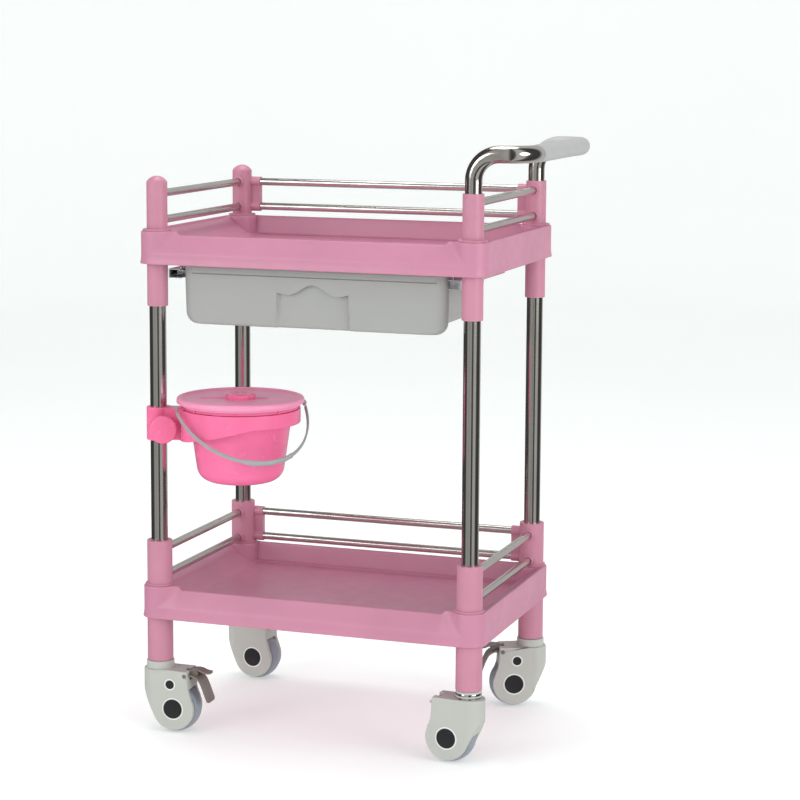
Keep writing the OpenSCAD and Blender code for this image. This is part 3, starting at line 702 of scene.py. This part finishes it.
LID_R = 95.5
LID_KNOB_R = 23
LID_SLOT_TURN = math.radians(19)
LID_SLOT_DEPTH = 2.6
LID_FLAT_R = 80             # the slot stays inside this radius
PAIL_WALL = 2.2
BAIL_TURN = math.radians(40)
BAIL_LENGTH = 121
BAIL_TILT = math.radians(54)
BAIL_HALF = 100             # from the pail's axis to each eye
BAIL_LEAN = 8               # the bow is this far off centre at its middle
EYE_DROP = 2.5              # the eyes' axis is this far below the lid
KNOB_TURN = math.radians(-55)


def wheel_of(radius, height, lobes, depth, bevel):
    """A knob with a softly waved edge and a slightly hollow top."""
    loops = []
    count = 96
    levels = ((0, 0.88, 0), (height * 0.12, 0.95, 0.4), (height * 0.3, 0.985, 1), (height - bevel, 1, 1),
              (height - bevel * 0.4, 0.975, 0.8), (height - bevel * 0.1, 0.93, 0.5), (height, 0.87, 0.2),
              (height - 0.1, 0.7, 0), (height - 0.7, 0.62, 0), (height - 0.8, 0.3, 0))
    for z, share, wave in levels:
        loop = []
        for k in range(count):
            angle = 2 * math.pi * k / count
            r = radius * share - depth * wave * (1 + math.cos(lobes * angle)) / 2
            loop.append((r * math.cos(angle), r * math.sin(angle), z))
        loops.append(loop)
    return loft(loops)


def lid_part():
    """The lid: a thick rounded rim, a lower top and a shallow slot that runs under the knob."""
    profile = [(84, 6), (87.4, 5.8), (87.6, 0.4), (88, 0), (89.2, 0), (89.6, 0.4), (89.6, 3.2), (90, 3.5),
               (94, 3.5), (95.1, 4), (LID_R, 5), (LID_R, 8.4), (95, 10.1), (93.8, 11.4), (92, 12),
               (90, 11.9), (88.5, 11.2), (87.4, 10.1), (86, 9.4), (84, 9.1)]
    profile += [(84 - 2 * k, 9 + 0.35 * math.sin(k / 42 * math.pi)) for k in range(1, 42)]
    verts, faces = lathe([(0.0, 6)] + profile + [(0.0, 9)], 128)
    shaped = []
    turn = Matrix.Rotation(-LID_SLOT_TURN, 3, "Z")
    for x, y, z in verts:
        if z > 8.6 and math.hypot(x, y) < LID_FLAT_R:
            local = turn @ Vector((x, y, 0))
            inside = min(52 - abs(local.x + 10), 13 - abs(local.y) - 0.06 * abs(local.x))
            z -= LID_SLOT_DEPTH * smoothstep(inside / 3)
        shaped.append((x, y, z))
    return shaped, faces


def pail_part():
    """The pail's wall, from under its foot up to its rim and down the inside."""
    corner = 24
    foot = 66
    profile = [(0.0, 1.2), (36, 1.2), (38.5, 0)]
    for k in range(9):
        angle = math.radians(-90 + 84 * k / 8)
        profile.append((foot - corner + corner * math.cos(angle), corner + corner * math.sin(angle)))
    profile += [(78.3, 109.6), (79.2, 110.6), (81, 110.9), (86.4, 110.9), (87, 111.3), (87, 114.8),
                (86.4, 115.1), (79.5, 115.1), (77.4, 114.6), (76.1, 112.5), (65, 30)]
    for k in range(9):
        angle = math.radians(-6 - 84 * k / 8)
        profile.append((foot - corner + (corner - PAIL_WALL) * math.cos(angle),
                        corner + (corner - PAIL_WALL) * math.sin(angle)))
    profile.append((0.0, 2.3))
    return lathe(profile, 96)


def bail_point(turn, axis_z, axis):
    """A point on the bail. The turn runs from 0 degrees at one eye to 180 at the other."""
    t = math.radians(turn)
    along = BAIL_HALF * math.cos(t) + BAIL_LEAN * math.sin(t) ** 2
    out = BAIL_LENGTH * math.sin(t) * math.sin(BAIL_TILT)
    down = BAIL_LENGTH * math.sin(t) * math.cos(BAIL_TILT)
    x = along * math.cos(BAIL_TURN) + out * math.sin(BAIL_TURN)
    y = along * math.sin(BAIL_TURN) - out * math.cos(BAIL_TURN)
    return Vector((axis.x + x, axis.y + y, axis_z - down))


def strap_section(half_w, half_t, groove):
    """A flat strap with round edges and a groove along each face. The width is the up direction."""
    side = [(half_t, half_w * 0.25), (half_t, half_w * 0.8), (half_t * 0.6, half_w),
            (-half_t * 0.6, half_w), (-half_t, half_w * 0.8), (-half_t, half_w * 0.25),
            (-half_t + groove, half_w * 0.12)]
    return side + [(-a, -b) for a, b in side]


def make_bail():
    axis = centre_mm("pail_lid").xy
    axis_z = low_mm("pail_lid").z - EYE_DROP
    normal = Vector((-math.sin(BAIL_TURN) * math.cos(BAIL_TILT),
                     math.cos(BAIL_TURN) * math.cos(BAIL_TILT), -math.sin(BAIL_TILT)))
    turns = [4 + 172 * k / 60 for k in range(61)]
    path = [bail_point(t, axis_z, axis) for t in turns]
    strap = swept(path, normal, [strap_section(2.9, 1.5, 0.6)] * len(path))
    eyes = []
    for end in (-1, 1):
        eye = closed([(2.3, -1.4), (4.2, -1.4), (4.8, -0.9), (4.8, 0.9), (4.2, 1.4), (2.3, 1.4)], 32)
        away = Vector((math.cos(BAIL_TURN), math.sin(BAIL_TURN), 0)) * BAIL_HALF * end
        place = Matrix.Translation((axis.x + away.x, axis.y + away.y, axis_z))
        eyes.append(placed(eye, place @ Matrix.Rotation(BAIL_TURN, 4, "Z") @
                           Matrix.Rotation(math.radians(90), 4, "Y")))
    add_piece("bail_strap", joined(strap, *eyes), BAIL_PLASTIC, "bail", ("bail",), 40)
    turns = [60 + k for k in range(51)]
    path = [bail_point(t, axis_z, axis) for t in turns]
    sections = []
    for k in range(len(turns)):
        step = 1 if 2 < k < 48 else 0.72
        wave = 0.35 * math.cos(2 * math.pi * k / 12.5) if 6 < k < 44 else 0
        sections.append(oval((3.1 + wave) * step, 4.6 * step, 20))
    add_piece("bail_handle", swept(path, normal, sections), BAIL_PLASTIC, "bail",
              ("bail_grip",), 50)


def make_pail():
    softened("pail_holder", "holder", PAIL_PLASTIC, 1.0, 3)
    softened("clamp_screw", "holder_screw", ZINC_STEEL, 0.2)
    post = POSTS["front_left"]
    knob_z = centre_mm("clamp_knob").z
    knob = wheel_of(21, 13, 12, 0, 2.6)
    place = (Matrix.Translation((post.x, post.y, knob_z)) @ Matrix.Rotation(KNOB_TURN, 4, "Z") @
             Matrix.Rotation(math.radians(90), 4, "Y") @ Matrix.Translation((0, 0, 27)))
    add_piece("holder_knob", placed(knob, place), PAIL_PLASTIC, "clamp_knob",
              ("clamp_knob",), 40)
    lid_z = low_mm("pail_lid").z
    axis = centre_mm("pail_lid").xy
    add_piece("pail_cover", placed(lid_part(), Matrix.Translation((axis.x, axis.y, lid_z))), LID_SHEEN_PLASTIC,
              "lid", ("pail_lid",), 50)
    knob = placed(wheel_of(LID_KNOB_R, 9.8, 14, 1.3, 2), Matrix.Translation((axis.x, axis.y, lid_z + 6.2)))
    add_piece("pail_cover_knob", knob, PAIL_PLASTIC, "lid", (), 50)
    pail_z = low_mm("pail").z
    lugs = []
    for end in (0, math.pi):
        lug = closed([(0, 84), (1.95, 84), (1.95, 102.2), (3.2, 102.4), (3.2, 103.0), (0, 103.0)], 20)
        turn = Matrix.Rotation(BAIL_TURN + end, 4, "Z") @ Matrix.Rotation(math.radians(90), 4, "Y")
        lugs.append(placed(lug, Matrix.Translation((0, 0, lid_z - EYE_DROP - pail_z)) @ turn))
    ribs = []
    for k in range(8):
        rib = rounded_ring(0.9, 86.6, 89.4, 0.5, 0, 2)
        turn = Matrix.Rotation(BAIL_TURN + math.radians(22.5 + 45 * k), 4, "Z")
        ribs.append(placed(loft([[(x, y, z + h) for x, y, z in rib] for h in (111.1, 114.9)]), turn))
    body = placed(joined(pail_part(), *lugs, *ribs), Matrix.Translation((axis.x, axis.y, pail_z)))
    add_piece("pail_body", body, PAIL_PLASTIC, "pail", ("pail",), 45)
    make_bail()


make_pail()


# ---- Casters ----

TRAIL = 27
AXLE_Z = 37.5
HOUSING_HALF = 20.5
BUTTON = (22.5, 75)         # the brake's round button, ahead of the swivel axis and above the floor
PEDAL_PIN = (45.5, 89)      # and the pin of its pedal


def caster_place(corner):
    """The frame of one caster: X runs from its swivel axis along the floor to its wheel."""
    post = POSTS[corner]
    wheel = centre_mm("hub_" + corner).xy
    turn = math.atan2(wheel.y - post.y, wheel.x - post.x)
    return Matrix.Translation((post.x, post.y, 0)) @ Matrix.Rotation(turn, 4, "Z")


def across(x, z, y=0):
    """The frame of a round piece whose axis runs across the wheel, facing outwards."""
    flip = -1 if y < 0 else 1
    return Matrix.Translation((x, y, z)) @ Matrix.Rotation(math.radians(-90 * flip), 4, "X")


def tyre_part():
    half = 13
    outside = []
    for k in range(13):
        angle = math.radians(-90 + 15 * k)
        bulge = 0.82 + 0.18 * abs(math.sin(angle))
        outside.append((33.4 + 4.1 * math.cos(angle), math.sin(angle) * half * bulge))
    profile = [(26, -12.6), (29.5, -12.9)] + outside + [(29.5, 12.9), (26, 12.6)]
    return closed(profile, 72)


def plate(outline, half_w, bevel):
    """A plate from its outline of (x, z) points, with its two outer edges cut back a little."""
    middle = [sum(p[0] for p in outline) / len(outline), sum(p[1] for p in outline) / len(outline)]
    loops = []
    for y, cut in ((-half_w, bevel), (-half_w + bevel, 0), (half_w - bevel, 0), (half_w, bevel)):
        loop = []
        for x, z in outline:
            away = Vector((x - middle[0], z - middle[1]))
            pulled = away * (1 - cut / max(away.length, 1))
            loop.append((middle[0] + pulled.x, y, middle[1] + pulled.y))
        loops.append(loop)
    return loft(loops)


def bent_strip(points, thick, half_w, end_round):
    """A strip of sheet metal that follows (x, z) points. It narrows over end_round at its last point."""
    path = [Vector((x, 0, z)) for x, z in points]
    sections = []
    for i in range(len(path)):
        w = half_w
        left = (path[-1] - path[i]).length
        if left < end_round:
            w = half_w - end_round + math.sqrt(max(0.01, end_round ** 2 - (end_round - left) ** 2))
        sections.append([(w, -thick / 2), (w, thick / 2), (-w, thick / 2), (-w, -thick / 2)])
    return swept(path, Vector((0, 0, 1)), sections)


def curve_points(anchors):
    """A smooth line through the anchors."""
    steps = 8
    points = []
    for i in range(len(anchors) - 1):
        p0 = Vector(anchors[max(i - 1, 0)])
        p1 = Vector(anchors[i])
        p2 = Vector(anchors[i + 1])
        p3 = Vector(anchors[min(i + 2, len(anchors) - 1)])
        for k in range(steps):
            t = k / steps
            points.append(0.5 * (2 * p1 + (p2 - p0) * t + (2 * p0 - 5 * p1 + 4 * p2 - p3) * t ** 2 +
                                 (3 * p1 - p0 - 3 * p2 + p3) * t ** 3))
    points.append(Vector(anchors[-1]))
    return points


def pedal_parts():
    """A pressed foot pad that hangs behind the wheel and a release tab above it, on one pin."""
    foot = curve_points([(47, 90), (56, 89), (66, 84), (72, 74), (77, 61), (82, 48.5)])
    release = curve_points([(46, 93), (54, 97), (64, 97.5), (74, 94), (83, 93.5)])
    pad = bent_strip(foot, 2.6, 15, 6)
    tab = bent_strip(release, 2.4, 9, 5)
    pin = placed(closed([(0, -19.5), (2.6, -19.5), (2.94, -19), (2.94, 19), (2.6, 19.5), (0, 19.5)], 24),
                 across(*PEDAL_PIN))
    cheeks = []
    for y in (-6.4, 6.4):
        cheek = plate([(42.6, 86), (43, 93), (52, 99), (60, 98), (64, 92), (60, 86), (50, 85)], 1.1, 0.4)
        cheeks.append(placed(cheek, Matrix.Translation((0, y, 0))))
    return joined(pad, tab, pin, *cheeks)


def make_caster(corner):
    place = caster_place(corner)
    body, wheel = "caster_" + corner, "wheel_" + corner
    braked = corner in ("front_left", "rear_right")
    softened("housing_" + corner, "fork_" + corner, HOUSING_PLASTIC, 1.3, 3,
             merge_flat=False)
    add_piece("tread_" + corner, placed(tyre_part(), place @ across(TRAIL, AXLE_Z)), TYRE_RUBBER, wheel,
              ("tyre_" + corner,), 50)
    softened("hub_" + corner, "wheel_core_" + corner, HUB_PLASTIC, 0.4)
    plug = closed([(0, -2), (3.9, -2), (3.9, 0.05), (13.9, 0.05), (14.8, 0.4), (14.5, 0.9), (13.4, 1.05),
                   (12.6, 0.8), (0, 0.75)], 48)
    plugs = [placed(plug, across(TRAIL, AXLE_Z, side * (HOUSING_HALF + 0.1))) for side in (-1, 1)]
    shaft = placed(closed([(0, -20.5), (3.95, -20.5), (3.95, 20.5), (0, 20.5)], 24), across(TRAIL, AXLE_Z))
    axle_body = frame["nodes"]["axle_" + corner]["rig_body"]
    add_piece("axle_plugs_" + corner, placed(joined(shaft, *plugs), place), PLUG_PLASTIC, axle_body,
              ("axle_" + corner,), 40)
    rim = closed([(14.9, -0.6), (17.2, -0.6), (17, 0.3), (16.2, 0.6), (15.2, 0.5), (14.9, 0.2)], 48)
    rims = [placed(rim, across(TRAIL, AXLE_Z, side * HOUSING_HALF)) for side in (-1, 1)]
    if braked:
        small = closed([(7.0, -0.6), (9, -0.6), (8.8, 0.3), (8.2, 0.5), (7.3, 0.4), (7, 0.2)], 32)
        rims += [placed(small, across(*BUTTON, side * HOUSING_HALF)) for side in (-1, 1)]
        button = closed([(0, -0.8), (6.7, -0.8), (6.7, 0.3), (6.0, 0.8), (5, 0.7), (0, 0.6)], 32)
        buttons = [placed(button, across(*BUTTON, side * HOUSING_HALF)) for side in (-1, 1)]
        add_piece("button_" + corner, placed(joined(*buttons), place), PLUG_PLASTIC, body,
                  (), 40)
        add_piece("pedal_" + corner, placed(pedal_parts(), place), PEDAL_METAL, "pedal_" + corner,
                  ("brake_pedal_" + corner,), 40)
    else:
        ring = closed([(12.8, 96.9), (19.6, 96.9), (19.9, 97.6), (19.9, 99.6), (19.2, 100.2), (18.6, 100.4),
                       (18.6, 102.2), (19.4, 102.6), (19.5, 104.6), (18.8, 106.2), (17, 107.4), (15, 108.8),
                       (12.8, 108.8)], 64)
        add_piece("bearing_" + corner, placed(ring, place), CHROME, body, (), 40)
        beak = plate([(48, 93), (54, 90.5), (58.5, 86.5), (57.5, 84.5), (53, 82.5), (48, 76)], 10, 1)
        add_piece("fork_tip_" + corner, placed(beak, place), HOUSING_PLASTIC, body,
                  (), 40)
    add_piece("plug_rims_" + corner, placed(joined(*rims), place), RIM_PLASTIC, body,
              (), 50)


softened("caster_stems", "stems", CHROME, 0.3)
for corner in CORNERS:
    make_caster(corner)


# ---- Stage, lights and camera ----

FLOOR_GLOW = 0.29
FLOOR_R = 5500              # the flat floor, in millimetres
WALL_BEND_R = 2500
WALL_TOP = 6000
ROOM_STRENGTH = 0.6
# Brightness that mirror-like surfaces see round the room, from 0 to 1 of a turn.
PANELS = ((0.0, 0.1), (0.1, 0.1), (0.14, 0.75), (0.2, 0.6), (0.28, 0.8), (0.305, 0.1), (0.345, 0.1),
          (0.365, 0.9), (0.45, 0.85), (0.48, 0.1), (0.62, 0.1), (0.67, 0.9), (0.84, 0.9), (0.88, 0.1))
# The camera's place is in millimetres, its angles are in radians.
CAMERA_FROM_CART = (1245.64, -3339.07)
CAMERA_HEIGHT = 1057.73
CAMERA_TURN = 0.3356
CAMERA_TILT = 0.1346
CAMERA_ROLL = 0.0056
CAMERA_LENS = 106.01
CAMERA_SHIFT = -0.0625


def make_floor():
    """A white floor that curves up into a wall far away, so that it has no edge in any view."""
    material, tree, shader = new_material("studio_floor")
    cloud = noise_of(tree, 0.8, 2)
    tree.links.new(tinted(tree, cloud, (0.81, 0.84, 0.83, 1), (0.83, 0.86, 0.85, 1)),
                   shader.inputs["Base Color"])
    shader.inputs["Roughness"].default_value = 0.7
    shader.inputs["Emission Color"].default_value = (1, 1, 1, 1)
    shader.inputs["Emission Strength"].default_value = FLOOR_GLOW
    profile = [(0.0, 0), (1500, 0), (4500, 0), (FLOOR_R, 0)]
    for k in range(1, 13):
        angle = math.radians(7.5 * k)
        profile.append((FLOOR_R + WALL_BEND_R * math.sin(angle), WALL_BEND_R * (1 - math.cos(angle))))
    profile.append((FLOOR_R + WALL_BEND_R, WALL_TOP))
    verts, faces = lathe(profile, 64)
    mesh = bpy.data.meshes.new("floor")
    mesh.from_pydata([Vector(v) * MM for v in verts], [], faces)
    mesh.shade_smooth()
    mesh.materials.append(material)
    floor = bpy.data.objects.new("floor", mesh)
    bpy.context.scene.collection.objects.link(floor)
    floor.visible_glossy = False


def make_light(name, place, target, size, power):
    light = bpy.data.lights.new(name, "AREA")
    light.shape = "DISK"
    light.size = size
    light.energy = power
    lamp = bpy.data.objects.new(name, light)
    bpy.context.scene.collection.objects.link(lamp)
    lamp.location = place
    lamp.rotation_euler = (Vector(target) - Vector(place)).to_track_quat("-Z", "Y").to_euler()


def make_world():
    """A white room. Mirror-like surfaces also see the dark gaps between its light panels."""
    world = bpy.data.worlds.new("studio")
    world.use_nodes = True
    bpy.context.scene.world = world
    tree = world.node_tree
    background = tree.nodes["Background"]
    place = tree.nodes.new("ShaderNodeTexCoord")
    split = tree.nodes.new("ShaderNodeSeparateXYZ")
    angle = tree.nodes.new("ShaderNodeMath")
    angle.operation = "ARCTAN2"
    turn = tree.nodes.new("ShaderNodeMapRange")
    turn.inputs["From Min"].default_value = -math.pi
    turn.inputs["From Max"].default_value = math.pi
    panels = tree.nodes.new("ShaderNodeValToRGB")
    ramp = panels.color_ramp
    gap = (PANELS[0][1],) * 3 + (1,)
    ramp.elements[0].position = PANELS[0][0]
    ramp.elements[0].color = gap
    ramp.elements[1].position = 1
    ramp.elements[1].color = gap
    for position, value in PANELS[1:]:
        stop = ramp.elements.new(position)
        stop.color = (value,) * 3 + (1,)
    path = tree.nodes.new("ShaderNodeLightPath")
    chosen = tree.nodes.new("ShaderNodeMix")
    chosen.data_type = "RGBA"
    chosen.inputs["A"].default_value = (1, 1, 1, 1)
    tree.links.new(place.outputs["Generated"], split.inputs["Vector"])
    tree.links.new(split.outputs["Y"], angle.inputs[0])
    tree.links.new(split.outputs["X"], angle.inputs[1])
    tree.links.new(angle.outputs["Value"], turn.inputs["Value"])
    tree.links.new(turn.outputs["Result"], panels.inputs["Fac"])
    tree.links.new(path.outputs["Is Glossy Ray"], chosen.inputs["Factor"])
    tree.links.new(panels.outputs["Color"], chosen.inputs["B"])
    tree.links.new(chosen.outputs["Result"], background.inputs["Color"])
    background.inputs["Strength"].default_value = ROOM_STRENGTH


def make_camera():
    back = Vector((math.sin(CAMERA_TURN) * math.cos(CAMERA_TILT),
                   -math.cos(CAMERA_TURN) * math.cos(CAMERA_TILT), math.sin(CAMERA_TILT)))
    right = Vector((math.cos(CAMERA_TURN), math.sin(CAMERA_TURN), 0))
    up = back.cross(right)
    tilt = Matrix.Rotation(CAMERA_ROLL, 3, back)
    axes = Matrix((tilt @ right, tilt @ up, back)).transposed()
    data = bpy.data.cameras.new("camera")
    data.lens = CAMERA_LENS
    data.shift_y = CAMERA_SHIFT
    camera = bpy.data.objects.new("camera", data)
    bpy.context.scene.collection.objects.link(camera)
    place = Vector((CAMERA_FROM_CART[0] + CART.x, CAMERA_FROM_CART[1] + CART.y, CAMERA_HEIGHT)) * MM
    camera.matrix_world = Matrix.Translation(place) @ axes.to_4x4()
    bpy.context.scene.camera = camera


make_floor()
make_light("key", (-1.9, -3.0, 1.7), (0, 0, 0.45), 1.8, 27)
make_light("fill", (2.9, -1.2, 1.3), (0, 0, 0.45), 1.8, 26)
make_light("overhead", (-0.2, 0.3, 3.0), (0, 0, 0.4), 1.6, 27)
make_world()
make_camera()
bpy.context.scene.view_settings.view_transform = "Standard"
